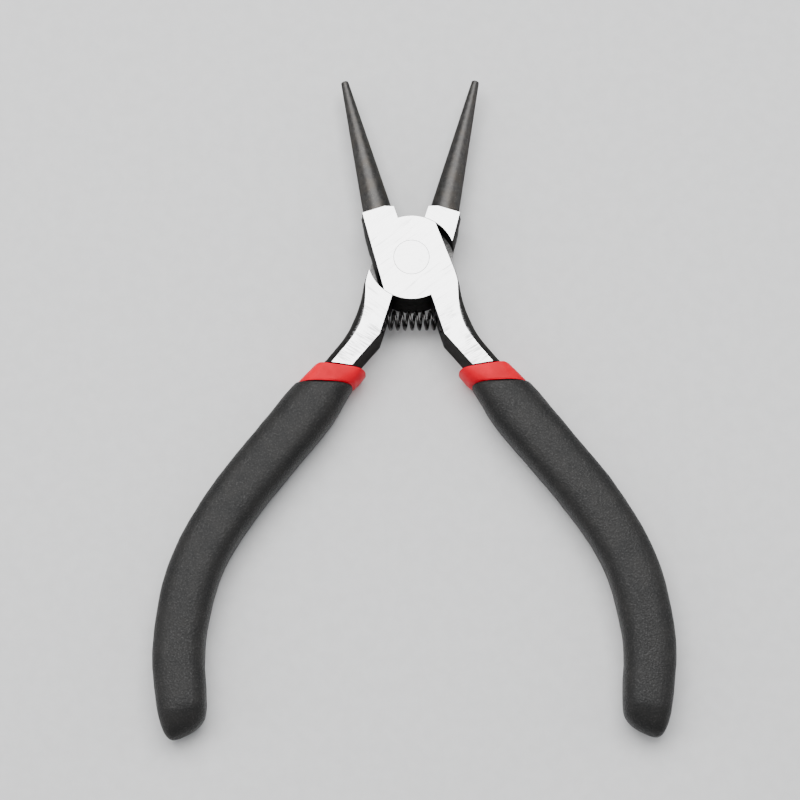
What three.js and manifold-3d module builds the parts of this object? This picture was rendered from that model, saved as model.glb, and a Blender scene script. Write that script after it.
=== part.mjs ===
// Round nose pliers: two lapped forgings turning on one rivet, held open by a coil spring,
// with a red vinyl liner and a black vinyl grip on each handle.
// Millimetres. +Y points to the jaw tips, +X to the right, +Z up. The origin is on the rivet's
// axis, on the flat underside of the head. Both halves are the same forging: each is drawn as it
// lies with the pliers shut, for the upper half, and the lower half is that solid turned over.
import * as THREE from "three";
import { mergeVertices } from "three/addons/utils/BufferGeometryUtils.js";
import Module from "manifold-3d";

const wasm = await Module();
wasm.setup();

// Driving dimensions
const THICKNESS = 8.4; // between the two ground faces
const MIDDLE = THICKNESS / 2;
const HALF_OPENING = THREE.MathUtils.degToRad(17.6); // each half off the centre line, spring free
const LAP_GAP = 0.1; // between the lapped faces of the halves
const DISC_RADIUS = 7.55;
const SHOULDER_RADIUS = 7.65;
const HEAD_HALF_WIDTH = 6.08; // of the ground face, beside the rivet
const HEAD_TAPER = 0.047; // the head widens by this much a side for each mm towards the handles
const BELLY_HEAD = 0.45; // how far the forged sides stand out beyond the ground faces, at mid height
const BELLY_JAW = 0.1;
const BELLY_SHANK = 1.8;
const JAW_SHANK_END = 10.35; // from the rivet to the front edge of the ground face
const JAW_FACE_CORNER = { x: 1.6, y: 9.8 }; // where that edge turns back, and where it ends
const JAW_FACE_RELIEF = 0.06; // the shank's inner face stands off the centre plane by this much
const CONE_BASE_RADIUS = 2.58;
const CONE_TIP_RADIUS = 0.68;
const TIP_ROUNDING = 0.28; // round the flat end of the cone
const CONE_BASE_Y = 10.9;
const JAW_TIP_Y = 36.3;
const CONE_FILLET = 0.55;
const CONE_RELIEF = 0.05; // the cone's inner edge stands off the centre plane by this much
const RIVET_RADIUS = 2.2;
const RIVET_HEAD_RADIUS = 3.1;
const RIVET_HEAD_DEPTH = 1.2;
const RIVET_CLEARANCE = 0.06;
const SPRING_WIRE = 0.5;
const SPRING_OUTSIDE = 3.6;
const SPRING_LENGTH = 13.7;
const SPRING_TURNS = 10.5;
const SPRING_Y = -10.2; // the spring's axis, behind the rivet
const POCKET_RADIUS = 2.15;
const POCKET_DEPTH = 2.85;
const POCKET_TILT = HALF_OPENING / 2; // square to the spring half way through the stroke
const MILLED_FACE_X = 1.15; // the flat inner side of the handle shank, round the spring
const BAND_CENTRE_X = 6.4; // where the handle passes through the red band
const BAND_FRONT = -22.0; // the red band on the liner, at its centre
const BAND_BACK = -25.2;
const BAND_LEAN = 0.15; // its front edge runs back by this much for each mm outwards
const MOUTH_LEAN = 0.25; // and so does its back edge, along the mouth of the black grip
const SEAM = 0.08; // between the shank's end, the red band and the mouth of the black grip
const SLEEVE_GAP = 0.25; // between the tang, the liner and the grip
const TANG = { width: 5.0, thickness: 4.4 };
const LINER_WALL = 0.7;
const GRIP = { widthMouth: 8.3, widthFront: 9.7, widthBack: 8.5, thickness: 8.4, endDome: 3.6 };
const GRIP_END_LEAN = 0.2; // the grip's closed end falls back by this much for each mm inwards
const BAND_ASIDE = 0.6; // the band's mouth stands this far towards the other handle
const SHANK_END = BAND_FRONT + SEAM; // where the forging steps down to the tang
const ROUND_SEGMENTS = 64;
const FAR_BACK = -120; // behind the whole tool

// The handle's centre line, from inside the shank to the end of the grip
const handleLine = new THREE.CatmullRomCurve3(
  [
    [5.6, -17],
    [7.3, -24.9],
    [9.9, -32.6],
    [12.8, -40.2],
    [15.7, -48],
    [17.9, -56.1],
    [18.75, -63],
    [18.35, -70],
    [17.0, -76.6],
    [14.4, -83.4],
    [10.9, -90.3],
  ].map(([x, y]) => new THREE.Vector3(x, y, MIDDLE)),
);
const HANDLE_LENGTH = handleLine.getLength();

const steel = { color: 0x9a9895, roughness: 0.38, metalness: 1 };
const rivetSteel = { color: 0xc9c8c5, roughness: 0.32, metalness: 1 };
const springSteel = { color: 0x2c2b2c, roughness: 0.4, metalness: 1 };
const redVinyl = { color: 0xd3141f, roughness: 0.3, metalness: 0 };
const blackVinyl = { color: 0x1b1b1d, roughness: 0.6, metalness: 0 };

// A three.js geometry as a manifold-3d solid
function solid(geometry) {
  const bare = geometry.index ? geometry.toNonIndexed() : geometry.clone();
  bare.deleteAttribute("normal");
  bare.deleteAttribute("uv");
  const merged = mergeVertices(bare, 1e-4);
  return new wasm.Manifold(
    new wasm.Mesh({
      numProp: 3,
      vertProperties: merged.attributes.position.array,
      triVerts: new Uint32Array(merged.index.array),
    }),
  );
}

// A manifold-3d solid as a named mesh
function meshOf(body, name, finish) {
  const result = body.getMesh();
  const geometry = new THREE.BufferGeometry();
  geometry.setAttribute("position", new THREE.BufferAttribute(result.vertProperties, 3));
  geometry.setIndex(new THREE.BufferAttribute(result.triVerts, 1));
  const flat = geometry.toNonIndexed();
  flat.computeVertexNormals();
  const mesh = new THREE.Mesh(flat, new THREE.MeshStandardMaterial(finish));
  mesh.name = name;
  return mesh;
}

function outline(points) {
  return new THREE.Shape(points.map(([x, y]) => new THREE.Vector2(x, y)));
}

// A straight prism of an outline, between two heights
function prism(shape, low, high) {
  const geometry = new THREE.ExtrudeGeometry(shape, { depth: high - low, bevelEnabled: false });
  geometry.translate(0, 0, low);
  return solid(geometry);
}

// An upright cylinder round the rivet's axis, between two heights
function disc(radius, low, high) {
  const geometry = new THREE.CylinderGeometry(radius, radius, high - low, ROUND_SEGMENTS);
  geometry.rotateX(Math.PI / 2);
  geometry.translate(0, 0, (low + high) / 2);
  return solid(geometry);
}

const groundSlab = prism(
  outline([
    [-60, -120],
    [60, -120],
    [60, 60],
    [-60, 60],
  ]),
  0,
  THICKNESS,
);

// Half the width of the head's ground face, at a distance along the tool
function headHalfWidth(y) {
  return HEAD_HALF_WIDTH - HEAD_TAPER * y;
}

// The ground face's outline, with the head still square
function groundOutline() {
  const shape = new THREE.Shape();
  shape.moveTo(-headHalfWidth(JAW_SHANK_END), JAW_SHANK_END);
  shape.lineTo(-headHalfWidth(8), 8);
  shape.lineTo(-headHalfWidth(-9.5), -9.5);
  shape.lineTo(0.05, -9.5);
  shape.lineTo(0.05, -12.4);
  shape.lineTo(1.25, -15.1);
  shape.lineTo(4.15, -22);
  shape.lineTo(6.5, -27.4);
  shape.lineTo(9.8, -27.4);
  shape.lineTo(7.35, -22);
  shape.splineThru(
    [
      [6.6, -20.1],
      [5.85, -18.2],
      [5.25, -16.4],
      [4.87, -14.6],
      [4.8, -13],
      [4.95, -11.3],
      [5.35, -9.5],
      [5.83, -7.8],
      [6.2, -6.4],
      [headHalfWidth(-4.5), -4.5],
    ].map(([x, y]) => new THREE.Vector2(x, y)),
  );
  shape.lineTo(headHalfWidth(9), 9);
  shape.lineTo(1.6, 9);
  shape.lineTo(1.6, JAW_FACE_CORNER.y);
  shape.lineTo(0, JAW_FACE_CORNER.y);
  shape.lineTo(-JAW_FACE_CORNER.x, JAW_SHANK_END);
  return shape;
}

// How far the forged side stands out at mid height: flat beside the jaw, fuller down the shank
function belly(x, y) {
  if (x < 0) {
    return THREE.MathUtils.lerp(BELLY_HEAD, BELLY_JAW, THREE.MathUtils.smoothstep(y, 7, 11));
  }
  return THREE.MathUtils.lerp(BELLY_SHANK, BELLY_HEAD, THREE.MathUtils.smoothstep(y, -14.5, -5.5));
}

// True on the outer sides, which keep the forging's round shape; the inner sides are cut upright
function isOuterSide(x, y) {
  const innerSideX = 1.25 - (y + 15.1) * 0.43;
  return y > -9.6 ? Math.abs(x) > 4 : x > Math.max(innerSideX, 1.25) + 1.5;
}

// A drop-forged blank, a little thicker than the tool so that grinding leaves a crisp edge
function forgedBlank() {
  const spare = 0.25;
  const depth = THICKNESS + 2 * spare;
  const geometry = new THREE.ExtrudeGeometry(groundOutline(), {
    depth,
    steps: 10,
    curveSegments: 3,
    bevelEnabled: false,
  });
  const reach = MIDDLE + 0.4;
  const fullness = (height) => Math.sqrt(1 - (height / reach) ** 2);
  const place = geometry.attributes.position;
  for (let i = 0; i < place.count; i += 1) {
    const x = place.getX(i);
    const y = place.getY(i);
    const height = place.getZ(i) - depth / 2;
    const share = (fullness(height) - fullness(MIDDLE)) / (1 - fullness(MIDDLE));
    const out = isOuterSide(x, y) ? Math.sign(x) * belly(x, y) * share : 0;
    place.setXYZ(i, x + out, y, MIDDLE + height);
  }
  return solid(geometry);
}

// An arc of the lap's disc seen from above, between two angles in degrees
function discArc(from, to, count) {
  const points = [];
  for (let i = 0; i <= count; i += 1) {
    const turn = THREE.MathUtils.degToRad(THREE.MathUtils.lerp(from, to, i / count));
    points.push([DISC_RADIUS * Math.cos(turn), DISC_RADIUS * Math.sin(turn)]);
  }
  return points;
}

// What is cut from between the jaws, down to the front of the lap's disc
function frontNotch() {
  const edge = THREE.MathUtils.radToDeg(Math.acos(-JAW_FACE_RELIEF / DISC_RADIUS));
  const corners = [
    [30, 0],
    [30, 60],
    [-JAW_FACE_RELIEF, 60],
  ];
  return prism(outline([...discArc(edge, 0, 24), ...corners]), -2, THICKNESS + 2);
}

// What is cut from behind the lap's disc, with the flat milled face round the spring
function rearNotch() {
  const edge = THREE.MathUtils.radToDeg(Math.acos(MILLED_FACE_X / DISC_RADIUS));
  const corners = [
    [MILLED_FACE_X, -16],
    [-30, -16],
    [-30, 0],
  ];
  return prism(outline([...corners, ...discArc(-180, -edge, 32)]), -2, THICKNESS + 2);
}

// The round jaw: a cone whose inner edge lies along the centre plane, with a fillet at its root
function jawCone() {
  const slope = Math.atan((CONE_BASE_RADIUS - CONE_TIP_RADIUS) / (JAW_TIP_Y - CONE_BASE_Y));
  const length = (JAW_TIP_Y - CONE_BASE_Y) / Math.cos(slope);
  const profile = [new THREE.Vector2(0, -4), new THREE.Vector2(CONE_BASE_RADIUS + CONE_FILLET, -4)];
  for (let i = 0; i <= 6; i += 1) {
    const turn = (i / 6) * (Math.PI / 2);
    profile.push(
      new THREE.Vector2(
        CONE_BASE_RADIUS + CONE_FILLET * (1 - Math.sin(turn)),
        -CONE_FILLET * Math.cos(turn),
      ),
    );
  }
  for (let i = 0; i <= 5; i += 1) {
    const turn = (i / 5) * (Math.PI / 2);
    profile.push(
      new THREE.Vector2(
        CONE_TIP_RADIUS - TIP_ROUNDING * (1 - Math.cos(turn)),
        length - TIP_ROUNDING * (1 - Math.sin(turn)),
      ),
    );
  }
  profile.push(new THREE.Vector2(0, length));
  const geometry = new THREE.LatheGeometry(profile, 40);
  geometry.rotateZ(-slope);
  geometry.translate(-CONE_RELIEF - CONE_BASE_RADIUS / Math.cos(slope), CONE_BASE_Y, MIDDLE);
  return solid(geometry);
}

// A capsule laid along the handle's centre line, from one arc length to another. Its section is
// a round-cornered square, halfWidth(s) in the plane of the tool and halfThickness upright. Its
// far end may lean, and it may stand a little to the inner side at its near end.
function alongHandle(from, to, halfWidth, halfThickness, endDome, rings, around, special = {}) {
  const { endLean = 0, inwards = 0 } = special;
  const straight = 10;
  const squareness = 3;
  const geometry = new THREE.CapsuleGeometry(1, straight, 6, around, rings);
  const place = geometry.attributes.position;
  for (let i = 0; i < place.count; i += 1) {
    const along = place.getY(i);
    let s = from + ((along + straight / 2) / straight) * (to - endDome - from);
    if (along > straight / 2) {
      s = to - endDome + (along - straight / 2) * (endDome - endLean * (2 + 4 * place.getX(i)));
    }
    if (along < -straight / 2) s = from + (along + straight / 2);
    const x = place.getX(i);
    const z = place.getZ(i);
    const reach = Math.hypot(x, z);
    const corner = reach
      ? (Math.abs(x / reach) ** squareness + Math.abs(z / reach) ** squareness) ** (-1 / squareness)
      : 0;
    const u = THREE.MathUtils.clamp(s / HANDLE_LENGTH, 0, 1);
    const centre = handleLine.getPointAt(u);
    const ahead = handleLine.getTangentAt(u);
    centre.addScaledVector(ahead, s - u * HANDLE_LENGTH);
    const aside = x * corner * halfWidth(u) + inwards * (1 - u / 0.14);
    place.setXYZ(
      i,
      centre.x + ahead.y * aside,
      centre.y - ahead.x * aside,
      centre.z + z * corner * halfThickness,
    );
  }
  return solid(geometry);
}

// The part of a solid between two upright planes across the handle
function between(body, back, front, backLean = BAND_LEAN, frontLean = BAND_LEAN) {
  const edge = (level, lean, x) => [x, level - lean * (x - BAND_CENTRE_X)];
  const slice = outline([
    edge(back, backLean, -15),
    edge(back, backLean, 45),
    edge(front, frontLean, 45),
    edge(front, frontLean, -15),
  ]);
  return body.intersect(prism(slice, -10, THICKNESS + 10));
}

// Half the grip's width, a share u of the way along the handle: it swells behind the mouth
function gripHalfWidth(u) {
  const body = THREE.MathUtils.lerp(GRIP.widthFront, GRIP.widthBack, u);
  return THREE.MathUtils.lerp(GRIP.widthMouth, body, THREE.MathUtils.smoothstep(u, 0.09, 0.19)) / 2;
}

const tangSolid = alongHandle(
  4,
  HANDLE_LENGTH - 6,
  () => TANG.width / 2,
  TANG.thickness / 2,
  2,
  16,
  16,
);

// A sleeve's outside or inside surface round the tang, this far off it
function roundTang(off) {
  return alongHandle(
    3,
    HANDLE_LENGTH - 6 + off,
    () => TANG.width / 2 + off,
    TANG.thickness / 2 + off,
    2 + off,
    18,
    20,
  );
}

function forging() {
  const lapRecess = disc(SHOULDER_RADIUS, -1, MIDDLE + LAP_GAP / 2);
  const ground = between(forgedBlank(), SHANK_END, 60).intersect(groundSlab);
  const lapped = ground.add(jawCone()).subtract(frontNotch()).subtract(rearNotch()).subtract(lapRecess);
  const tang = between(tangSolid, FAR_BACK, SHANK_END + 1);
  return lapped.subtract(rivetHole()).subtract(springPocket()).add(tang);
}

function rivetProfile(clearance) {
  const past = clearance ? 1 : 0;
  const head = RIVET_HEAD_RADIUS + clearance;
  const shank = RIVET_RADIUS + clearance;
  return [
    [0, -past],
    [head, -past],
    [head, 0],
    [shank, RIVET_HEAD_DEPTH],
    [shank, THICKNESS - RIVET_HEAD_DEPTH],
    [head, THICKNESS],
    [head, THICKNESS + past],
    [0, THICKNESS + past],
  ]
    .filter(([r, z], i, all) => i === 0 || r !== all[i - 1][0] || z !== all[i - 1][1])
    .map(([r, z]) => new THREE.Vector2(r, z));
}

function rivetSolid(clearance) {
  const geometry = new THREE.LatheGeometry(rivetProfile(clearance), ROUND_SEGMENTS);
  geometry.rotateX(Math.PI / 2);
  return solid(geometry);
}

function rivetHole() {
  return rivetSolid(RIVET_CLEARANCE);
}

// The blind hole in the handle shank that holds one end of the spring
function springPocket() {
  const geometry = new THREE.CylinderGeometry(POCKET_RADIUS, POCKET_RADIUS, 10 + POCKET_DEPTH, 32);
  geometry.rotateZ(Math.PI / 2);
  geometry.translate(POCKET_DEPTH / 2 - 5, 0, MIDDLE);
  geometry.rotateZ(-POCKET_TILT);
  geometry.translate(MILLED_FACE_X, -11.22, 0);
  const cutter = solid(geometry);
  const handleSide = outline([
    [0, -30],
    [30, -30],
    [30, 0],
    [0, 0],
  ]);
  return cutter.intersect(prism(handleSide, -2, THICKNESS + 2));
}

class Helix extends THREE.Curve {
  getPoint(t, target = new THREE.Vector3()) {
    const radius = (SPRING_OUTSIDE - SPRING_WIRE) / 2;
    const turn = t * SPRING_TURNS * 2 * Math.PI;
    const travel = SPRING_LENGTH - SPRING_WIRE;
    return target.set((t - 0.5) * travel, -radius * Math.sin(turn), radius * Math.cos(turn));
  }
}

function springSolid() {
  const wire = new THREE.Shape();
  wire.absarc(0, 0, SPRING_WIRE / 2, 0, 2 * Math.PI);
  const geometry = new THREE.ExtrudeGeometry(wire, {
    steps: SPRING_TURNS * 14,
    curveSegments: 3,
    extrudePath: new Helix(),
  });
  geometry.translate(0, SPRING_Y, MIDDLE);
  return solid(geometry);
}

// The red liner: a thin sleeve on the tang with a thick band at its mouth, which stays in sight
function linerSolid() {
  const band = alongHandle(3, 14, gripHalfWidth, GRIP.thickness / 2, 2, 6, 32, {
    inwards: BAND_ASIDE,
  });
  const bandOnly = between(band, BAND_BACK, BAND_FRONT, MOUTH_LEAN);
  const sleeve = between(roundTang(SLEEVE_GAP + LINER_WALL), FAR_BACK, BAND_BACK + 1);
  return bandOnly.add(sleeve).subtract(roundTang(SLEEVE_GAP));
}

// The black grip: a closed-end sleeve over the liner, its mouth along the band's back edge
function gripSolid() {
  const outside = alongHandle(
    3,
    HANDLE_LENGTH,
    gripHalfWidth,
    GRIP.thickness / 2,
    GRIP.endDome,
    26,
    32,
    { endLean: GRIP_END_LEAN },
  );
  const inside = roundTang(2 * SLEEVE_GAP + LINER_WALL);
  return between(outside, FAR_BACK, BAND_BACK - SEAM, MOUTH_LEAN, MOUTH_LEAN).subtract(inside);
}

// One half of the tool, open by its share of the angle
const half = {
  forging: forging(),
  liner: linerSolid(),
  grip: gripSolid(),
};

function halfGroup(side, opening) {
  const drawn = new THREE.Group();
  drawn.add(meshOf(half.forging, side + "_forging", steel));
  drawn.add(meshOf(half.liner, side + "_grip_liner", redVinyl));
  drawn.add(meshOf(half.grip, side + "_grip", blackVinyl));
  const opened = new THREE.Group();
  opened.rotation.z = opening;
  opened.add(drawn);
  return { drawn, opened };
}

const upper = halfGroup("upper", HALF_OPENING);
const lower = halfGroup("lower", -HALF_OPENING);
lower.drawn.rotation.y = Math.PI;
lower.drawn.position.z = THICKNESS;

const pliers = new THREE.Group();
pliers.add(upper.opened);
pliers.add(lower.opened);
pliers.add(meshOf(rivetSolid(0), "pivot_rivet", rivetSteel));
pliers.add(meshOf(springSolid(), "return_spring", springSteel));

export default pliers;
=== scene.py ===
"""Round nose pliers: how each piece looks.

The frame is in metres, +Y to the jaw tips, +Z up, with the origin on the rivet's axis at the
head's underside. Steel and vinyl pieces are drawn in millimetres as the upper half lies with the
tool shut, and place_half() opens that half, or turns it over to make the lower one.
"""
import math

import bmesh
import bpy
from mathutils import Matrix, Vector, noise


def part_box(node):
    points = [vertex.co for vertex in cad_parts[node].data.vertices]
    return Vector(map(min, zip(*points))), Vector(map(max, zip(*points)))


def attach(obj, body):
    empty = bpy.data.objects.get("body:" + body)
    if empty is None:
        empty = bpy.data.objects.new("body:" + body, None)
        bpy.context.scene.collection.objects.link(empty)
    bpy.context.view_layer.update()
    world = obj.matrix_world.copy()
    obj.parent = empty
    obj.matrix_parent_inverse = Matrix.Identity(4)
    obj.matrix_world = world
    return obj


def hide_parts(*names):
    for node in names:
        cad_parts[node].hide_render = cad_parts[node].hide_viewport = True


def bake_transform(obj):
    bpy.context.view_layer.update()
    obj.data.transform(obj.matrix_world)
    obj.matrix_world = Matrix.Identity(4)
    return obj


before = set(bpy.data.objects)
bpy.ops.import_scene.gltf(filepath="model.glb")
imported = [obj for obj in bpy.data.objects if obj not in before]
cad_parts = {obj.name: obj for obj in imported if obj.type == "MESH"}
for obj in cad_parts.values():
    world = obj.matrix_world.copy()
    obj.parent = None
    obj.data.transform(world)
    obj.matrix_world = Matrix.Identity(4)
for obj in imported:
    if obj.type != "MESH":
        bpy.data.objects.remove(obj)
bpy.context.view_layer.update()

MM = 0.001

# Sizes read from the frame, in millimetres
RIVET_LOW, RIVET_HIGH = (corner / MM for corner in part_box("pivot_rivet"))
SPRING_LOW, SPRING_HIGH = (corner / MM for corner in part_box("return_spring"))
THICKNESS = RIVET_HIGH.z - RIVET_LOW.z
MIDDLE = THICKNESS / 2
RIVET_HEAD_RADIUS = RIVET_HIGH.x
SPRING_OUTSIDE = SPRING_HIGH.z - SPRING_LOW.z
SPRING_LENGTH = SPRING_HIGH.x - SPRING_LOW.x
SPRING_Y = (SPRING_LOW.y + SPRING_HIGH.y) / 2

# Driving dimensions of the forging, in millimetres
HALF_OPENING = math.radians(17.6)
LAP_GAP = 0.1
DISC_RADIUS = 7.55
SHOULDER_RADIUS = 7.65
HEAD_HALF_WIDTH = 6.08
HEAD_TAPER = 0.047  # the head widens by this much a side for each mm towards the handles
BELLY_HEAD = 0.45  # how far the forged sides stand out beyond the ground faces, at mid height
BELLY_JAW = 0.1
BELLY_SHANK = 1.8
JAW_BELLY_FADE = (7, 11)  # between these lengths from the rivet one belly turns into the other
SHANK_BELLY_FADE = (-14.5, -5.5)
JAW_SHANK_END = 10.35
JAW_FACE_CORNER_X = 1.6
JAW_FACE_CORNER_Y = 9.8
JAW_FACE_RELIEF = 0.06
OTHER_JAW_X = 1.6  # the outline's corner past the centre plane, where the front notch is cut
OTHER_JAW_Y = 9.0
HEAD_SIDE_X = 4.0  # further aside than this, the head's outline is a forged side
HEAD_SIDE_END = -9.6
INNER_CORNER_X = 1.25  # where the shank's inner side turns outwards to the band
INNER_CORNER_Y = -15.1
INNER_SLOPE = 0.43  # how far it runs outwards for each mm towards the handles, from there
INNER_MARGIN = 1.5  # nearer to it than this, the shank's outline is an inner side
CONE_BASE_RADIUS = 2.58
CONE_TIP_RADIUS = 0.68
TIP_ROUNDING = 0.28  # round the flat end of the cone
CONE_BASE_Y = 10.9
JAW_TIP_Y = 36.3
CONE_FILLET = 0.55
CONE_RELIEF = 0.05  # the cone's inner edge stands off the centre plane by this much
RIVET_RADIUS = 2.2
RIVET_HEAD_DEPTH = 1.2
RIVET_SEAM = 0.022  # the hair's gap round the rivet, and between the shank and the band
SPRING_WIRE = 0.5
SPRING_TURNS = 10.5
POCKET_RADIUS = 2.15
POCKET_DEPTH = 2.85
POCKET_Y = -11.22
MILLED_FACE_X = 1.15
MILLED_FACE_END = -16.0
RIVET_BEVEL = 0.04
CONE_BURIED = 2.2  # how far the cone runs back into the jaw shank

# Driving dimensions of the handle, in millimetres
BAND_CENTRE_X = 6.4
BAND_FRONT = -22.0
BAND_BACK = -25.2
BAND_LEAN = 0.15  # the band's front edge runs back by this much for each mm outwards
MOUTH_LEAN = 0.25  # and so does its back edge, along the mouth of the black grip
BAND_ASIDE = 0.6  # the band's front stands this far towards the other handle
BAND_EXTRA = 0.1
BAND_STATION = 7  # the distance along the handle where the band takes its width
BAND_INNER_CORNER = 0.15
BAND_OUTER_CORNER = 1.5
BAND_LIP = 0.04
BAND_SWELL = 0.06
BAND_TUCK = 0.12  # the band's back edge is let in by this much, under the grip's mouth
SEAM = 0.08
SLEEVE_GAP = 0.25
LINER_WALL = 0.7
TANG_HALF_WIDTH = 2.5
TANG_HALF_HEIGHT = 2.2
TANG_END_MARGIN = 6.0
TANG_DOME = 2.0
GRIP_WIDTH_MOUTH = 8.3
GRIP_WIDTH_FRONT = 9.7
GRIP_WIDTH_BACK = 8.5
GRIP_SWELL = (0.09, 0.19)  # the shares of the handle where it widens behind the mouth
MOUTH_STATION = 9
GRIP_LIP = 0.5
MOUTH_RUN = 14  # how far behind the mouth its slant and its rounder section fade out
HANDLE_POINTS = [
    (5.6, -17.0), (7.3, -24.9), (9.9, -32.6), (12.8, -40.2), (15.7, -48.0), (17.9, -56.1),
    (18.75, -63.0), (18.35, -70.0), (17.0, -76.6), (14.4, -83.4), (10.9, -90.3),
]

# The grip's closed end, ring by ring: how far before the end the ring meets the outer side and
# the inner side, how far aside each of those points is, and half the ring's height
GRIP_END = [
    (11.5, -4.28, 11.5, 4.38, 4.2), (9.0, -4.2, 9.0, 4.4, 4.2), (6.6, -4.14, 6.8, 4.24, 4.2),
    (5.0, -4.1, 5.2, 4.04, 4.12), (3.6, -3.98, 4.1, 3.78, 3.72), (2.2, -3.74, 3.1, 3.4, 3.15),
    (1.1, -3.3, 2.3, 2.8, 2.45), (0.55, -2.7, 1.6, 1.9, 1.7), (0.4, -2.1, 1.0, 0.7, 0.9),
    (0.42, -1.2, 0.6, -0.5, 0.25),
]

# How finely things are drawn
ROUND = 96
SECTION_POINTS = 72
HALVINGS = 30
SECTION_HALVINGS = 24
LIP_STEPS = 6
GRIP_RINGS = 110
WIRE_AROUND = 16
WIRE_RINGS = 40  # for each turn of the spring

# What the cutting prisms reach past, in millimetres
CUT_LOW, CUT_HIGH = -5, 15
CUT_SIDE = 30
CUT_WIDE = 60
CUT_AHEAD = 60
CUT_BEHIND = -120


# ---------------------------------------------------------------- curves and outlines

def catmull(points, steps):
    """A smooth polyline through the points, with so many steps from each to the next."""
    points = [Vector(p) for p in points]
    ends = [2 * points[0] - points[1]] + points + [2 * points[-1] - points[-2]]
    line = []
    for a, b, c, d in zip(ends, ends[1:], ends[2:], ends[3:]):
        for i in range(steps):
            t = i / steps
            line.append(
                0.5 * (2 * b + (c - a) * t + (2 * a - 5 * b + 4 * c - d) * t**2
                       + (3 * b - a - 3 * c + d) * t**3)
            )
    return line + [points[-1]]


def arc(radius, start, end, steps):
    """Points round the rivet's axis, from one angle in degrees to another."""
    turns = [math.radians(start + (end - start) * i / steps) for i in range(steps + 1)]
    return [(radius * math.cos(turn), radius * math.sin(turn)) for turn in turns]


def smoothstep(x, low, high):
    t = min(max((x - low) / (high - low), 0), 1)
    return t * t * (3 - 2 * t)


# ---------------------------------------------------------------- meshes

def object_from(bm, name):
    """A new object from a bmesh, with its faces turned outwards."""
    bmesh.ops.recalc_face_normals(bm, faces=bm.faces)
    mesh = bpy.data.meshes.new(name)
    bm.to_mesh(mesh)
    bm.free()
    made = bpy.data.objects.new(name, mesh)
    bpy.context.scene.collection.objects.link(made)
    return made


def loft(rings, name, capped=False):
    """A skin through rings of points. A ring of one point is a pole, and capped ends are flat."""
    bm = bmesh.new()
    made = [[bm.verts.new(point) for point in ring] for ring in rings]
    for near, far in zip(made, made[1:]):
        count = max(len(near), len(far))
        for i in range(count):
            j = (i + 1) % count
            if len(near) == 1:
                bm.faces.new((near[0], far[j], far[i]))
            elif len(far) == 1:
                bm.faces.new((near[i], near[j], far[0]))
            else:
                bm.faces.new((near[i], near[j], far[j], far[i]))
    if capped:
        bm.faces.new(made[0])
        bm.faces.new(made[-1])
    return object_from(bm, name)


def prism(points, low, high, name="cutter"):
    """An upright prism of an outline."""
    return loft([[(x, y, z) for x, y in points] for z in (low, high)], name, capped=True)


def lathe(profile, name, around=ROUND):
    """A solid turned round the Z axis from (radius, height) pairs that start and end on it."""
    rings = []
    for radius, height in profile:
        if radius == 0:
            rings.append([(0, 0, height)])
            continue
        turns = [2 * math.pi * i / around for i in range(around)]
        rings.append([(radius * math.cos(t), radius * math.sin(t), height) for t in turns])
    return loft(rings, name)


def carve(body, tool, operation):
    """Joins a tool to the body, cuts it away, or keeps only what both hold."""
    step = body.modifiers.new("step", "BOOLEAN")
    step.solver = "EXACT"
    step.operation = operation
    step.object = tool
    graph = bpy.context.evaluated_depsgraph_get()
    mesh = bpy.data.meshes.new_from_object(body.evaluated_get(graph))
    body.modifiers.clear()
    body.data = mesh
    bpy.data.objects.remove(tool)


def smooth(piece, degrees=30):
    """Smooth shading that stays crisp at corners sharper than an angle."""
    piece.data.shade_smooth()
    piece.data.set_sharp_from_angle(angle=math.radians(degrees))
    weighted = piece.modifiers.new("weighted normals", "WEIGHTED_NORMAL")
    weighted.keep_sharp = True


# ---------------------------------------------------------------- the forging

def head_half_width(y):
    return HEAD_HALF_WIDTH - HEAD_TAPER * y


def ground_outline():
    """The ground face's outline, with the head still square."""
    front = [
        (-head_half_width(JAW_SHANK_END), JAW_SHANK_END), (-JAW_FACE_CORNER_X, JAW_SHANK_END),
        (0, JAW_FACE_CORNER_Y), (OTHER_JAW_X, JAW_FACE_CORNER_Y), (OTHER_JAW_X, OTHER_JAW_Y),
        (head_half_width(OTHER_JAW_Y), OTHER_JAW_Y),
    ]
    outer_side = catmull(
        [
            (head_half_width(-4.5), -4.5), (6.2, -6.4), (5.83, -7.8), (5.35, -9.5), (4.95, -11.3),
            (4.8, -13.0), (4.87, -14.6), (5.25, -16.4), (5.85, -18.2), (6.6, -20.1), (7.35, -22.0),
        ],
        5,
    )
    past_band = [(9.8, -27.4), (6.5, -27.4)]
    inner_side = [(4.15, -22.0), (INNER_CORNER_X, INNER_CORNER_Y), (0.05, -12.4), (0.05, -9.5)]
    left_side = [(-head_half_width(y), y) for y in (-9.5, 0, 4, 7, 7.8, 8.4, 9.0, 9.6)]
    return [Vector(p) for p in front + outer_side + past_band + inner_side + left_side]


def belly(x, y):
    """How far the forged side stands out at mid height: flat by the jaw, fuller down the shank."""
    if x < 0:
        return BELLY_HEAD + (BELLY_JAW - BELLY_HEAD) * smoothstep(y, *JAW_BELLY_FADE)
    return BELLY_SHANK + (BELLY_HEAD - BELLY_SHANK) * smoothstep(y, *SHANK_BELLY_FADE)


def is_outer_side(x, y):
    """The outer sides keep the forging's round shape, and the inner sides are cut upright."""
    if y > HEAD_SIDE_END:
        return abs(x) > HEAD_SIDE_X
    inner = INNER_CORNER_X - (y - INNER_CORNER_Y) * INNER_SLOPE
    return x > max(inner, INNER_CORNER_X) + INNER_MARGIN


BLANK_ARC = MIDDLE + 0.4  # the round sides are part of a circle this large
BLANK_HALF_HEIGHT = MIDDLE + 0.25
BLANK_LEVELS = 10


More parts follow.
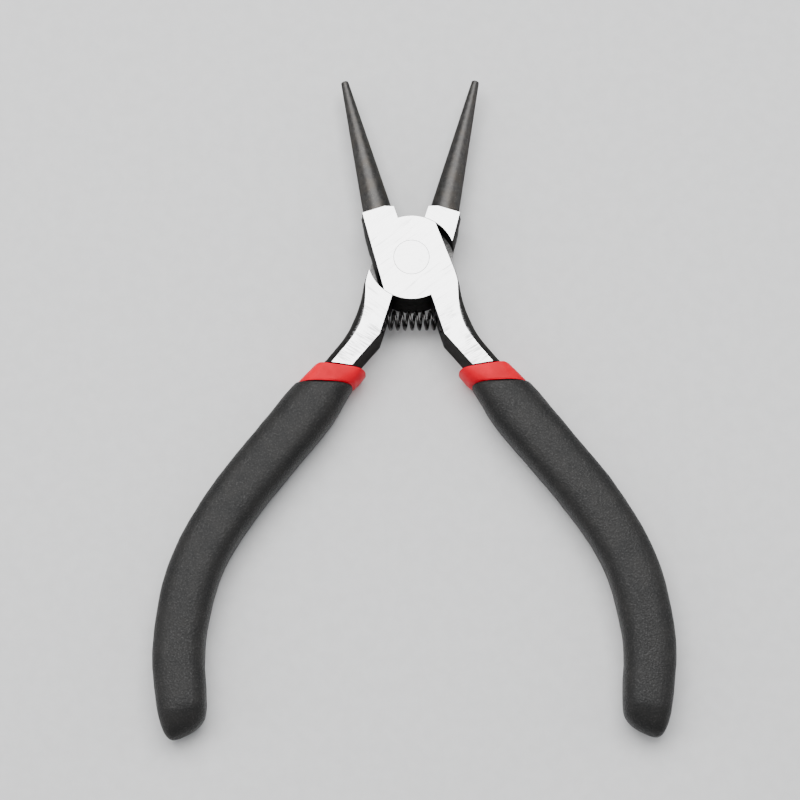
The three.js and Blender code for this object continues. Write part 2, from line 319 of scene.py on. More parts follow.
def forged_blank():
    """The outline with rounded sides, a little thicker than the tool."""
    least = math.sqrt(1 - (MIDDLE / BLANK_ARC) ** 2)
    turns = [math.radians(90 * i / BLANK_LEVELS) for i in range(-BLANK_LEVELS, BLANK_LEVELS + 1)]
    levels = [BLANK_HALF_HEIGHT * math.sin(turn) for turn in turns]
    rings = []
    for level in levels:
        share = (math.sqrt(1 - (level / BLANK_ARC) ** 2) - least) / (1 - least)
        ring = []
        for x, y in ground_outline():
            out = math.copysign(belly(x, y) * share, x) if is_outer_side(x, y) else 0
            ring.append((x + out, y, MIDDLE + level))
        rings.append(ring)
    return loft(rings, "forging", capped=True)


def ground_slab():
    """The thickness between the two ground faces."""
    corners = [(-CUT_WIDE, CUT_BEHIND), (CUT_WIDE, CUT_BEHIND), (CUT_WIDE, CUT_AHEAD),
               (-CUT_WIDE, CUT_AHEAD)]
    return prism(corners, 0, THICKNESS)


def front_notch():
    """What is cut from between the jaws, down to the front of the lap's disc."""
    edge = math.degrees(math.acos(-JAW_FACE_RELIEF / DISC_RADIUS))
    gap = [(CUT_SIDE, 0), (CUT_SIDE, CUT_AHEAD), (-JAW_FACE_RELIEF, CUT_AHEAD)]
    return prism(arc(DISC_RADIUS, edge, 0, 48) + gap, CUT_LOW, CUT_HIGH)


def rear_notch():
    """What is cut from behind the lap's disc, with the flat milled face round the spring."""
    edge = math.degrees(math.acos(MILLED_FACE_X / DISC_RADIUS))
    milling = [(MILLED_FACE_X, MILLED_FACE_END), (-CUT_SIDE, MILLED_FACE_END), (-CUT_SIDE, 0)]
    return prism(milling + arc(DISC_RADIUS, -180, -edge, 64), CUT_LOW, CUT_HIGH)


def lap_recess():
    """The round seat for the other half's disc, up to the lap's plane."""
    return prism(arc(SHOULDER_RADIUS, 0, 360, 128)[:-1], CUT_LOW, MIDDLE + LAP_GAP / 2)


def behind_band():
    """Everything behind the plane where the shank meets the red band."""
    level = BAND_FRONT + SEAM
    edge = [(x, level - BAND_LEAN * (x - BAND_CENTRE_X)) for x in (-CUT_WIDE, CUT_WIDE)]
    behind = [(CUT_WIDE, CUT_BEHIND), (-CUT_WIDE, CUT_BEHIND)]
    return prism(edge + behind, CUT_LOW, CUT_HIGH)


def spring_pocket():
    """The spring's seat, square to the spring half way through its stroke."""
    clear = 3
    profile = [(0, -POCKET_DEPTH), (POCKET_RADIUS, -POCKET_DEPTH), (POCKET_RADIUS, clear),
               (0, clear)]
    pocket = lathe(profile, "cutter", 48)
    facing = Matrix.Rotation(-HALF_OPENING / 2, 4, "Z") @ Matrix.Rotation(-math.pi / 2, 4, "Y")
    pocket.data.transform(Matrix.Translation((MILLED_FACE_X, POCKET_Y, MIDDLE)) @ facing)
    return pocket


def rivet_profile(spare, past):
    """The rivet's hole, wider than the rivet by a spare and running past both faces."""
    head = RIVET_HEAD_RADIUS + spare
    shank = RIVET_RADIUS + spare
    half = [(0, -past), (head, -past), (head, 0), (shank, RIVET_HEAD_DEPTH)]
    other = [(radius, THICKNESS - height) for radius, height in reversed(half)]
    return half + other


def jaw_cone():
    """The round jaw, its inner edge along the centre plane, with a fillet at its root."""
    slope = math.atan((CONE_BASE_RADIUS - CONE_TIP_RADIUS) / (JAW_TIP_Y - CONE_BASE_Y))
    length = (JAW_TIP_Y - CONE_BASE_Y) / math.cos(slope)
    quarter = [math.radians(90 * i / 12) for i in range(13)]
    root = [(CONE_BASE_RADIUS + CONE_FILLET * (1 - math.sin(t)), -CONE_FILLET * math.cos(t))
            for t in quarter]
    tip = [(CONE_TIP_RADIUS - TIP_ROUNDING * (1 - math.cos(t)),
            length - TIP_ROUNDING * (1 - math.sin(t))) for t in quarter]
    start = CONE_BASE_RADIUS + CONE_FILLET
    cone = lathe([(0, -CONE_BURIED), (start, -CONE_BURIED)] + root + tip + [(0, length)], "cone")
    forward = Matrix.Rotation(-slope, 4, "Z") @ Matrix.Rotation(-math.pi / 2, 4, "X")
    centre = (-CONE_RELIEF - CONE_BASE_RADIUS / math.cos(slope), CONE_BASE_Y, MIDDLE)
    cone.data.transform(Matrix.Translation(centre) @ forward)
    return cone


def make_forging():
    body = forged_blank()
    carve(body, behind_band(), "DIFFERENCE")
    carve(body, ground_slab(), "INTERSECT")
    carve(body, jaw_cone(), "UNION")
    carve(body, front_notch(), "DIFFERENCE")
    carve(body, rear_notch(), "DIFFERENCE")
    carve(body, lap_recess(), "DIFFERENCE")
    carve(body, lathe(rivet_profile(RIVET_SEAM, 1), "cutter"), "DIFFERENCE")
    carve(body, spring_pocket(), "DIFFERENCE")
    carve(body, make_tang(), "UNION")
    return body


# ---------------------------------------------------------------- the handle

HANDLE_LINE = catmull(HANDLE_POINTS, 24)
HANDLE_LENGTH = sum((b - a).length for a, b in zip(HANDLE_LINE, HANDLE_LINE[1:]))


def handle_at(distance):
    """The handle's centre line and its direction, a distance from its start."""
    left = distance
    for near, far in zip(HANDLE_LINE, HANDLE_LINE[1:]):
        step = (far - near).length
        if left <= step or far is HANDLE_LINE[-1]:
            ahead = (far - near) / step
            return near + ahead * left, ahead
        left -= step


HANDLE_STATIONS = 400
STATION_TABLE = [handle_at(HANDLE_LENGTH * i / HANDLE_STATIONS) for i in range(HANDLE_STATIONS + 1)]


def on_handle(distance, aside, up):
    """A point off the handle's centre line: aside is towards the other handle."""
    share = distance / HANDLE_LENGTH * HANDLE_STATIONS
    index = min(max(int(share), 0), HANDLE_STATIONS - 1)
    near, ahead = STATION_TABLE[index]
    after = STATION_TABLE[index + 1][1]
    turning = min(max(share - index, 0), 1)
    direction = ahead.lerp(after, turning).normalized()
    centre = near + ahead * (share - index) * HANDLE_LENGTH / HANDLE_STATIONS
    return Vector((centre.x + direction.y * aside, centre.y - direction.x * aside, MIDDLE + up))


def section(across, upright=None):
    """A round-cornered square, as (aside, up) pairs from -1 to 1.

    The first power flattens the top and bottom, and the second the two sides.
    """
    upright = across if upright is None else upright
    pairs = []
    for i in range(SECTION_POINTS):
        turn = 2 * math.pi * i / SECTION_POINTS
        aside, up = math.cos(turn), math.sin(turn)
        low, high = 0.9, 1.5
        for _ in range(SECTION_HALVINGS):
            reach = (low + high) / 2
            if abs(reach * aside) ** across + abs(reach * up) ** upright < 1:
                low = reach
            else:
                high = reach
        pairs.append((aside * low, up * low))
    return pairs


def grip_half_width(distance):
    share = min(max(distance / HANDLE_LENGTH, 0), 1)
    body = GRIP_WIDTH_FRONT + (GRIP_WIDTH_BACK - GRIP_WIDTH_FRONT) * share
    return (GRIP_WIDTH_MOUTH + (body - GRIP_WIDTH_MOUTH) * smoothstep(share, *GRIP_SWELL)) / 2


def handle_ring(shape, half_width, half_height, distances, inwards=0.0):
    """A ring round the handle, with its own distance for each point of the section."""
    return [on_handle(d, a * half_width + inwards, u * half_height)
            for d, (a, u) in zip(distances, shape)]


def plain_ring(shape, half_width, half_height, distance):
    return handle_ring(shape, half_width, half_height, [distance] * len(shape))


def distances_at_level(shape, half_width, half_height, level, lean=BAND_LEAN):
    """How far along the handle each point of a section meets an upright plane across the band."""
    found = []
    for aside, up in shape:
        low, high = -10.0, 40.0
        for _ in range(HALVINGS):
            middle = (low + high) / 2
            point = on_handle(middle, aside * half_width, up * half_height)
            if point.y + lean * (point.x - BAND_CENTRE_X) > level:
                low = middle
            else:
                high = middle
        found.append(low)
    return found


def sleeve_rings(shape, off, level, forward=True):
    """The inside or outside of a sleeve at a distance off the tang, from its closed end."""
    half_width = TANG_HALF_WIDTH + off
    half_height = TANG_HALF_HEIGHT + off
    end = HANDLE_LENGTH - TANG_END_MARGIN + off
    dome = TANG_DOME + off
    dome_steps = 6
    rings = [[on_handle(end, 0, 0)]]
    for i in range(1, dome_steps + 1):
        turn = math.radians(90 * i / dome_steps)
        shrink = math.sin(turn)
        distance = end - dome * (1 - math.cos(turn))
        rings.append(plain_ring(shape, half_width * shrink, half_height * shrink, distance))
    mouth = distances_at_level(shape, half_width, half_height, level)
    start = max(mouth) + 1
    steps = 40
    for i in range(1, steps):
        distance = end - dome + (start - end + dome) * i / steps
        rings.append(plain_ring(shape, half_width, half_height, distance))
    rings.append(handle_ring(shape, half_width, half_height, mouth))
    return rings if forward else rings[::-1]


TANG_SECTION = section(2.5)
BAND_FRONT_ACROSS = 6.0  # the band's front has a flat top and round sides
BAND_FRONT_UPRIGHT = 1.9
MOUTH_SQUARENESS = 2.6
GRIP_SQUARENESS = 3.1


def make_tang():
    """The tang, its front buried in the shank, and its end inside the grip."""
    buried = 1
    rings = sleeve_rings(TANG_SECTION, 0, BAND_FRONT + buried)
    rings.append([on_handle(HANDLE_LENGTH * 0.05, 0, 0)])
    return loft(rings, "tang")


def band_setback(aside, half_width, inner_corner, outer_corner):
    """How far the band's front edge falls back at its corners, seen from above."""
    corner = inner_corner if aside > 0 else outer_corner
    into = max(abs(aside) * half_width - (half_width - corner), 0)
    return corner - math.sqrt(max(corner**2 - into**2, 0))


def quarter_turns(steps):
    return [math.radians(90 * i / steps) for i in range(steps + 1)]


def band_front_rings(shape, half_width, front):
    """The band's small rounded lip against the shank."""
    rings = []
    for turn in quarter_turns(LIP_STEPS):
        drop = BAND_LIP * (1 - math.sin(turn))
        along = BAND_LIP * (1 - math.cos(turn))
        rings.append(handle_ring(shape, half_width - drop, MIDDLE - drop,
                                 [f + along for f in front], BAND_ASIDE))
    return rings


def band_rings(half_width, front, setbacks, back):
    """The band from its lip to its back edge, with a slight swell between them."""
    rings = []
    steps = 12
    for i in range(1, steps + 1):
        share = i / steps
        distances = [
            f + s * (1 - share) + BAND_LIP * (1 - share) + (b - f) * share
            for f, s, b in zip(front, setbacks, back)
        ]
        drop = BAND_TUCK if i == steps else -BAND_SWELL * math.sin(math.pi * share)
        shape = section(BAND_FRONT_ACROSS + (MOUTH_SQUARENESS - BAND_FRONT_ACROSS) * share,
                        BAND_FRONT_UPRIGHT + (MOUTH_SQUARENESS - BAND_FRONT_UPRIGHT) * share)
        rings.append(handle_ring(shape, half_width - drop, MIDDLE - max(drop, 0), distances,
                                 BAND_ASIDE * (1 - share)))
    return rings


def make_liner():
    """The red liner: a thick band at the mouth, and a thin sleeve hidden in the grip."""
    shape = section(BAND_FRONT_ACROSS, BAND_FRONT_UPRIGHT)
    half_width = grip_half_width(BAND_STATION) + BAND_EXTRA
    front = distances_at_level(shape, half_width, MIDDLE, BAND_FRONT + SEAM - RIVET_SEAM)
    back = distances_at_level(section(MOUTH_SQUARENESS), half_width, MIDDLE, BAND_BACK,
                              MOUTH_LEAN)
    setbacks = [band_setback(aside, half_width, BAND_INNER_CORNER, BAND_OUTER_CORNER)
                for aside, _ in shape]
    rings = sleeve_rings(TANG_SECTION, SLEEVE_GAP, BAND_FRONT)
    rings += band_front_rings(shape, half_width, [f + s for f, s in zip(front, setbacks)])
    rings += band_rings(half_width, front, setbacks, back)
    rings += sleeve_rings(TANG_SECTION, SLEEVE_GAP + LINER_WALL, BAND_BACK, forward=False)
    return loft(rings, "grip_liner")


# Dipped vinyl's slight waves: how high each kind stands, and how close together
WAVES = ((0.05, 0.14), (0.025, 0.5))


def uneven(point, aside, up):
    """A point on the grip, moved by the waves of its dipped vinyl."""
    amount = sum(height * noise.noise(point * pitch) for height, pitch in WAVES)
    moved = point + Vector((0, 0, math.copysign(abs(up) ** 3, up))) * amount
    inwards = Vector((-1, 0, 0)) * math.copysign(abs(aside) ** 3, aside)
    moved += inwards * amount * 2
    moved.z = min(max(moved.z, 0), THICKNESS)
    return moved


def grip_ring(distances, drop, squareness):
    """A ring of the grip's outside, let in by a drop."""
    ring = []
    for distance, (aside, up) in zip(distances, section(squareness)):
        width = grip_half_width(distance) - drop
        point = on_handle(distance, aside * width, up * (MIDDLE - drop))
        ring.append(uneven(point, aside, up))
    return ring


def grip_end_ring(outer_before, outer_aside, inner_before, inner_aside, half_height):
    """A slanted ring near the closed end."""
    ring = []
    for aside, up in section(GRIP_SQUARENESS):
        share = (aside + 1) / 2
        distance = HANDLE_LENGTH - outer_before - (inner_before - outer_before) * share
        across = outer_aside + (inner_aside - outer_aside) * share
        ring.append(uneven(on_handle(distance, across, up * half_height), aside, up))
    return ring


def make_grip():
    """The black grip: a closed-end sleeve with a rounded mouth against the band."""
    level = BAND_BACK - SEAM
    mouth = distances_at_level(section(MOUTH_SQUARENESS), grip_half_width(MOUTH_STATION), MIDDLE,
                               level, MOUTH_LEAN)
    mean = sum(mouth) / len(mouth)
    rings = sleeve_rings(TANG_SECTION, 2 * SLEEVE_GAP + LINER_WALL, level)
    for turn in quarter_turns(LIP_STEPS)[:-1]:
        along = GRIP_LIP * (1 - math.cos(turn))
        rings.append(grip_ring([m + along for m in mouth], GRIP_LIP * (1 - math.sin(turn)),
                               MOUTH_SQUARENESS))
    run = HANDLE_LENGTH - mean - GRIP_LIP - GRIP_END[0][0]
    for i in range(GRIP_RINGS):
        along = run * i / GRIP_RINGS
        skew = 1 - smoothstep(along, 0, MOUTH_RUN)
        squareness = GRIP_SQUARENESS + (MOUTH_SQUARENESS - GRIP_SQUARENESS) * skew
        rings.append(grip_ring([mean + GRIP_LIP + along + (m - mean) * skew for m in mouth], 0,
                               squareness))
    rings += [grip_end_ring(*row) for row in catmull(GRIP_END, 5)]
    outer_before, outer_aside, inner_before, inner_aside, _ = GRIP_END[-1]
    tip = HANDLE_LENGTH - (outer_before + inner_before) / 2
    rings.append([on_handle(tip, (outer_aside + inner_aside) / 2, 0)])
    return loft(rings, "grip")


# ---------------------------------------------------------------- rivet and spring

def make_rivet():
    """The rivet, with a hair's bevel round each flush end."""
    half = [(0, 0), (RIVET_HEAD_RADIUS - 1.5 * RIVET_BEVEL, 0),
            (RIVET_HEAD_RADIUS - 0.75 * RIVET_BEVEL, RIVET_BEVEL),
            (RIVET_RADIUS, RIVET_HEAD_DEPTH)]
    other = [(radius, THICKNESS - height) for radius, height in reversed(half)]
    rivet = lathe(half + other, "rivet")
    rivet.data.transform(Matrix.Scale(MM, 4))
    return rivet


def make_spring():
    """A round wire wound in a helix, its ends rounded off."""
    radius = (SPRING_OUTSIDE - SPRING_WIRE) / 2
    travel = SPRING_LENGTH - SPRING_WIRE
    steps = int(SPRING_TURNS * WIRE_RINGS)
    wire = SPRING_WIRE / 2
    turns = [2 * math.pi * k / WIRE_AROUND for k in range(WIRE_AROUND)]

    def centre(t):
        turn = t * SPRING_TURNS * 2 * math.pi
        return Vector(((t - 0.5) * travel, SPRING_Y - radius * math.sin(turn),
                       MIDDLE + radius * math.cos(turn)))

    rings = [[centre(0)]]
    for i in range(steps + 1):
        t = i / steps
        here = centre(t)
        ahead = (centre(t + 0.001) - centre(t - 0.001)).normalized()
        outwards = (here - Vector((here.x, SPRING_Y, MIDDLE))).normalized()
        across = ahead.cross(outwards).normalized()
        rings.append([here + wire * (math.cos(a) * outwards + math.sin(a) * across) for a in turns])
    rings.append([centre(1)])
    spring = loft(rings, "spring")
    spring.data.transform(Matrix.Scale(MM, 4))
    return spring


# ---------------------------------------------------------------- materials

class Nodes:
    """Short calls for building a material's nodes."""

    def __init__(self, name):
        self.material = bpy.data.materials.new(name)
        self.material.use_nodes = True
        self.tree = self.material.node_tree
        self.shader = self.tree.nodes["Principled BSDF"]
        self.place = self.tree.nodes.new("ShaderNodeTexCoord").outputs["Object"]

    def link(self, source, target):
        self.tree.links.new(source, target)

    def feed(self, socket, value):
        if isinstance(value, bpy.types.NodeSocket):
            self.link(value, socket)
        else:
            socket.default_value = value

    def stretched(self, scale, turn=0.0):
        """The object's own coordinates, turned about Z and scaled along each axis."""
        turned = self.tree.nodes.new("ShaderNodeVectorRotate")
        turned.rotation_type = "Z_AXIS"
        turned.inputs["Angle"].default_value = turn
        self.link(self.place, turned.inputs["Vector"])
        scaled = self.tree.nodes.new("ShaderNodeVectorMath")
        scaled.operation = "MULTIPLY"
        self.link(turned.outputs["Vector"], scaled.inputs[0])
        scaled.inputs[1].default_value = scale
        return scaled.outputs["Vector"]

    def mark(self, name):
        """A value written on the mesh."""
        made = self.tree.nodes.new("ShaderNodeAttribute")
        made.attribute_name = name
        return made.outputs["Fac"]

    def along(self, axis):
        """One of the object's own coordinates, in metres."""
        made = self.tree.nodes.new("ShaderNodeSeparateXYZ")
        self.link(self.place, made.inputs[0])
        return made.outputs[axis]

    def noise(self, vector, scale, detail=3.0, roughness=0.5):
        made = self.tree.nodes.new("ShaderNodeTexNoise")
        self.link(vector, made.inputs["Vector"])
        made.inputs["Scale"].default_value = scale
        made.inputs["Detail"].default_value = detail
        made.inputs["Roughness"].default_value = roughness
        return made.outputs["Fac"]

    def voronoi(self, vector, scale):
        made = self.tree.nodes.new("ShaderNodeTexVoronoi")
        self.link(vector, made.inputs["Vector"])
        made.inputs["Scale"].default_value = scale
        return made.outputs["Distance"]

    def math(self, operation, first, second=0.0):
        made = self.tree.nodes.new("ShaderNodeMath")
        made.operation = operation
        self.feed(made.inputs[0], first)
        self.feed(made.inputs[1], second)
        return made.outputs[0]

    def remap(self, value, low, high, to_low=0.0, to_high=1.0):
        made = self.tree.nodes.new("ShaderNodeMapRange")
        made.interpolation_type = "SMOOTHSTEP"
        self.feed(made.inputs["Value"], value)
        for name, number in (("From Min", low), ("From Max", high),
                             ("To Min", to_low), ("To Max", to_high)):
            made.inputs[name].default_value = number
        return made.outputs["Result"]

    def mix(self, share, first, second):
        made = self.tree.nodes.new("ShaderNodeMix")
        made.data_type = "RGBA"
        self.feed(made.inputs["Factor"], share)
        self.feed(made.inputs["A"], first)
        self.feed(made.inputs["B"], second)
        return made.outputs["Result"]

    def bump(self, height, distance, strength=1.0, normal=None):
        made = self.tree.nodes.new("ShaderNodeBump")
        made.inputs["Distance"].default_value = distance
        made.inputs["Strength"].default_value = strength
        self.link(height, made.inputs["Height"])
        if normal is not None:
            self.link(normal, made.inputs["Normal"])
        return made.outputs["Normal"]


def grey(level, warmth=0.0):
    return (level * (1 + warmth), level, level * (1 - warmth), 1)


# The names of the values that mark_ground_faces() writes on the forging
GROUND = "ground"
MACHINED = "machined"
CONES_START = (0.0105, 0.0112)  # the jaws' own finish and lighter tone begin between these lengths, in metres; behind them the sides are painted darker as shade
SHANKS_START = (-0.0085, -0.0125)


def dark_steel(n, mottled):
    """Dark sides painted darker than the cones as shade, smoother tarnished cones, and the lap's
    dull milling.
    """
    # The sides' darker tone is painted shade for the shaded walls; the cones keep a lighter steel
    # tone.
    scale = n.mix(n.remap(mottled, 0.3, 0.7), grey(0.024, 0.02), grey(0.046, 0.04))
    cones = n.mix(n.remap(mottled, 0.3, 0.7), grey(0.055, 0.02), grey(0.088, 0.03))
    tarnish = n.remap(n.noise(n.place, 480.0, 3.0, 0.6), 0.42, 0.70, 0, 0.45)
    cones = n.mix(tarnish, cones, (0.092, 0.080, 0.067, 1))
    # Painted shade: behind the jaws, the forging takes the sides' darker tone.
    dark = n.mix(n.remap(n.along("Y"), *CONES_START), scale, cones)
    spots = n.noise(n.place, 4200.0, 2.0, 0.5)
    dark = n.mix(n.remap(spots, 0.64, 0.72, 0, 0.40), dark, grey(0.22, 0.08))
    turned = n.noise(n.stretched((300, 3000, 300), math.radians(40)), 1.0, 3.0, 0.6)
    milled = n.mix(n.remap(turned, 0.3, 0.7), grey(0.07), grey(0.17, 0.02))
    return n.mix(n.mark(MACHINED), dark, milled)


def bright_steel(n, fine, marks):
    """Ground faces with fine cross scratches, and more worn strokes down the shanks."""
    bright = n.mix(n.remap(marks, 0.30, 0.42), grey(0.60), grey(0.95))
    bright = n.mix(n.remap(fine, 0.25, 0.6), grey(0.72), bright)
    strokes = n.noise(n.stretched((260, 3600, 260), math.radians(-14)), 1.0, 3.0, 0.6)
    patch = n.remap(n.noise(n.place, 260.0, 2.0, 0.5), 0.38, 0.58)
    worn = n.math("MULTIPLY", n.remap(n.along("Y"), *SHANKS_START), patch)
    worn = n.math("MULTIPLY", worn, n.remap(strokes, 0.44, 0.60))
    return n.mix(worn, bright, grey(0.42))


def forged_steel():
    """Bright ground faces, and dark satin sides and jaws."""
    n = Nodes("forged steel")
    fine = n.noise(n.stretched((90, 2600, 90), math.radians(-17)), 1.0, 4.0, 0.6)
    cuts = n.noise(n.stretched((500, 5200, 500), math.radians(-22)), 1.0, 2.0, 0.6)
    torn = n.math("ADD", n.mark(GROUND), n.remap(cuts, 0.3, 0.7, -0.16, 0.16))
    face = n.remap(torn, 0.22, 0.84)
    mottled = n.noise(n.place, 1500.0, 4.0, 0.6)
    marks = n.noise(n.stretched((110, 1400, 110), math.radians(-20)), 1.0, 2.0, 0.7)
    n.link(n.mix(face, dark_steel(n, mottled), bright_steel(n, fine, marks)),
           n.shader.inputs["Base Color"])

    rough = n.tree.nodes.new("ShaderNodeMix")
    n.link(face, rough.inputs["Factor"])
    n.link(n.remap(mottled, 0.3, 0.7, 0.42, 0.54), rough.inputs["A"])
    n.link(n.remap(fine, 0.3, 0.7, 0.26, 0.42), rough.inputs["B"])
    n.link(rough.outputs["Result"], n.shader.inputs["Roughness"])
    n.shader.inputs["Metallic"].default_value = 1.0
    n.shader.inputs["Specular Tint"].default_value = grey(0.45)

    scratch = n.math("MULTIPLY", n.math("ADD", fine, marks), face)
    grain = n.math("MULTIPLY", mottled, n.math("SUBTRACT", 1.0, face))
    lower = n.bump(grain, 0.00001, 0.6)
    n.link(n.bump(scratch, 0.000006, 0.6, lower), n.shader.inputs["Normal"])
    return n.material


def rivet_steel():
    """The same bright steel, ground with the head, a little softer and greyer."""
    n = Nodes("rivet steel")
    fine = n.noise(n.stretched((120, 2400, 120), math.radians(-8)), 1.0, 4.0, 0.6)
    blotch = n.noise(n.place, 420.0, 3.0, 0.6)
    tone = n.mix(n.remap(fine, 0.25, 0.6), grey(0.72), grey(0.93))
    n.link(n.mix(n.remap(blotch, 0.3, 0.5), grey(0.76), tone), n.shader.inputs["Base Color"])
    n.link(n.remap(fine, 0.3, 0.7, 0.28, 0.42), n.shader.inputs["Roughness"])
    n.shader.inputs["Metallic"].default_value = 1.0
    n.link(n.bump(fine, 0.000006, 0.6), n.shader.inputs["Normal"])
    return n.material


def spring_steel():
    """Dark oil-tempered wire with fine drawing lines."""
    n = Nodes("spring steel")
    tint = n.noise(n.place, 900.0, 3.0, 0.6)
    n.link(n.mix(n.remap(tint, 0.3, 0.7), grey(0.03), grey(0.075, 0.03)),
           n.shader.inputs["Base Color"])
    n.link(n.remap(tint, 0.3, 0.7, 0.22, 0.38), n.shader.inputs["Roughness"])
    n.shader.inputs["Metallic"].default_value = 1.0
    n.link(n.bump(n.noise(n.place, 4000.0, 2.0), 0.000005, 0.5), n.shader.inputs["Normal"])
    return n.material


def red_vinyl():
    """Dipped red vinyl with a soft gloss, slightly wavy."""
    n = Nodes("red vinyl")
    cloud = n.noise(n.place, 260.0, 3.0, 0.55)
    n.link(n.mix(n.remap(cloud, 0.3, 0.7), (0.52, 0.0006, 0.013, 1), (0.70, 0.0009, 0.020, 1)),
           n.shader.inputs["Base Color"])
    n.link(n.remap(n.noise(n.place, 900.0, 3.0), 0.3, 0.7, 0.30, 0.42),
           n.shader.inputs["Roughness"])
    n.shader.inputs["Specular IOR Level"].default_value = 0.05
    wave = n.bump(cloud, 0.00012, 0.5)
    n.link(n.bump(n.noise(n.place, 2200.0, 2.0), 0.00001, 0.4, wave), n.shader.inputs["Normal"])
    return n.material


def black_vinyl():
    """Black vinyl with a fine pebbled grain and a soft sheen."""
    n = Nodes("black vinyl")
    grain = n.voronoi(n.place, 2900.0)
    flecks = n.noise(n.place, 3600.0, 3.0, 0.6)
    cloud = n.noise(n.place, 300.0, 4.0, 0.6)
    tone = n.mix(n.remap(cloud, 0.3, 0.7), grey(0.007), grey(0.012, 0.05))
    n.link(n.mix(n.remap(flecks, 0.52, 0.72, 0, 0.8), tone, grey(0.028, 0.03)),
           n.shader.inputs["Base Color"])
    n.link(n.remap(flecks, 0.35, 0.65, 0.62, 0.46), n.shader.inputs["Roughness"])
    n.shader.inputs["Specular IOR Level"].default_value = 0.24
    pebble = n.bump(grain, 0.00007, 0.8)
    n.link(n.bump(flecks, 0.00003, 0.7, pebble), n.shader.inputs["Normal"])
    return n.material


def floor_material():
    """Pale matt card."""
    n = Nodes("floor")
    paper = n.noise(n.place, 400.0, 4.0, 0.6)
    n.link(n.mix(n.remap(paper, 0.3, 0.7), grey(0.60), grey(0.63)), n.shader.inputs["Base Color"])
    n.shader.inputs["Roughness"].default_value = 0.8
    return n.material


# ---------------------------------------------------------------- putting the pieces in place

UPRIGHT = 0.95  # a face that points up or down by more than this is flat
FACE_SLACK = 0.02
OUTWARDS = 0.2  # a side that points outwards by more than this, behind the head, is a worn one
HEAD_BACK = -7
WORN_EDGE = 0.56  # how bright the shank's outer edge is ground, at the ground face
WORN_DEPTH = 1.6  # how steeply that fades down the side
WORN_START = (8, 11)  # how far behind the rivet it fades in, and out again
WORN_END = (16, 19)


def mark_ground_faces(mesh):
    """Writes where the forging is ground bright, fading over its outer edge, and where milled."""
    ground = mesh.attributes.new(GROUND, "FLOAT", "CORNER")
    machined = mesh.attributes.new(MACHINED, "FLOAT", "CORNER")
    for face in mesh.polygons:
        level = abs(face.center.z - MIDDLE)
        upright = abs(face.normal.z) > UPRIGHT
        flat = 1.0 if upright and level > MIDDLE - FACE_SLACK else 0.0
        lapped = 1.0 if upright and level < LAP_GAP else 0.0
        outer = face.normal.x > OUTWARDS and face.center.y < HEAD_BACK and not upright
        behind = -face.center.y
        along = smoothstep(behind, *WORN_START) * (1 - smoothstep(behind, *WORN_END))
        for corner in face.loop_indices:
            height = mesh.vertices[mesh.loops[corner].vertex_index].co.z
            depth = MIDDLE - abs(height - MIDDLE)
            worn = max(WORN_EDGE - depth / WORN_DEPTH, 0) * along
            ground.data[corner].value = worn if outer else flat
            machined.data[corner].value = lapped


def place_half(piece, upper):
    """Opens a piece drawn for the shut upper half, or turns it over for the lower half."""
    opening = Matrix.Rotation(HALF_OPENING if upper else -HALF_OPENING, 4, "Z")
    if upper:
        piece.matrix_world = opening
        return
    turned = Matrix.Translation((0, 0, THICKNESS * MM)) @ Matrix.Rotation(math.pi, 4, "Y")
    piece.matrix_world = opening @ turned


def finish_piece(piece, material):
    """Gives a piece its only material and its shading."""
    piece.data.materials.clear()
    piece.data.materials.append(material)
    for face in piece.data.polygons:
        face.material_index = 0
    smooth(piece)


def add_halves(drawn, node, material):
    """Makes a piece of each half from one drawn mesh, each standing for its CAD node."""
    drawn.data.transform(Matrix.Scale(MM, 4))
    finish_piece(drawn, material)
    other = drawn.copy()
    other.data = drawn.data.copy()
    bpy.context.scene.collection.objects.link(other)
    for piece, side in ((drawn, "upper"), (other, "lower")):
        piece.name = f"{side}_{node}_look"
        place_half(piece, side == "upper")
        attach(piece, f"{side}_half")
        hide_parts(f"{side}_{node}")


def add_forgings():
    forging = make_forging()
    mark_ground_faces(forging.data)
    add_halves(forging, "forging", forged_steel())


def add_rivet():
    rivet = make_rivet()
    finish_piece(rivet, rivet_steel())
    rivet.name = "pivot_rivet_look"
    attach(rivet, "lower_half")
    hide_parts("pivot_rivet")


def add_spring():
    """The spring between the two halves, with its place baked into its mesh."""
    spring = make_spring()
    finish_piece(spring, spring_steel())
    spring.name = "return_spring_look"
    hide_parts("return_spring")
    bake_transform(spring)


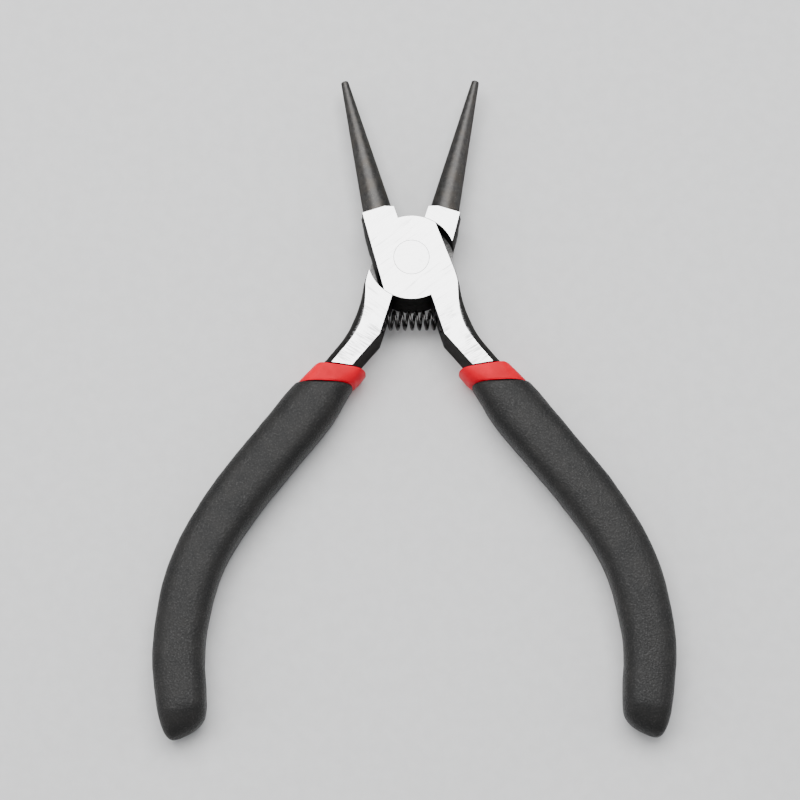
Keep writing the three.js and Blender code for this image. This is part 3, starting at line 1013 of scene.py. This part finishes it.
# ---------------------------------------------------------------- the studio

FLOOR_GAP = 0.00002


def add_floor():
    bm = bmesh.new()
    bmesh.ops.create_grid(bm, x_segments=2, y_segments=2, size=1.5)
    floor = object_from(bm, "floor")
    floor.location.z = -FLOOR_GAP
    floor.data.materials.append(floor_material())


def look_at(thing, target):
    """Turns a light or camera to face a point."""
    direction = Vector(target) - thing.location
    thing.rotation_euler = direction.to_track_quat("-Z", "Y").to_euler()


def add_light(name, place, target, size, power):
    data = bpy.data.lights.new(name, "AREA")
    data.shape = "RECTANGLE"
    data.size, data.size_y = size
    data.energy = power
    light = bpy.data.objects.new(name, data)
    light.location = place
    bpy.context.scene.collection.objects.link(light)
    look_at(light, target)


def add_lights():
    """A large soft light overhead, two faint fills and an even surround."""
    middle = (0, -0.025, 0)
    add_light("overhead", (-0.04, 0.17, 0.62), middle, (0.72, 0.56), 9.0)
    add_light("left fill", (-0.55, -0.10, 0.35), middle, (0.3, 0.5), 1.4)
    add_light("right fill", (0.55, 0.05, 0.30), middle, (0.3, 0.5), 0.9)
    world = bpy.data.worlds.new("studio")
    world.use_nodes = True
    background = world.node_tree.nodes["Background"]
    background.inputs["Color"].default_value = (0.92, 0.95, 1.0, 1)
    background.inputs["Strength"].default_value = 0.35
    bpy.context.scene.world = world


SENSOR_WIDTH = 36.0
LENS = 111.4
CAMERA_PLACE = (-2.81 * MM, -138.9 * MM, 414.2 * MM)
CAMERA_TARGET = (-2.13 * MM, -23.33 * MM, 0)


def add_camera():
    """Looks down from the handles' side, as one stands at a bench."""
    data = bpy.data.cameras.new("camera")
    data.sensor_width = SENSOR_WIDTH
    data.lens = LENS
    camera = bpy.data.objects.new("camera", data)
    camera.location = CAMERA_PLACE
    bpy.context.scene.collection.objects.link(camera)
    look_at(camera, CAMERA_TARGET)
    bpy.context.scene.camera = camera


add_camera()
add_lights()
add_floor()
add_forgings()
add_halves(make_liner(), "grip_liner", red_vinyl())
add_halves(make_grip(), "grip", black_vinyl())
add_rivet()
add_spring()
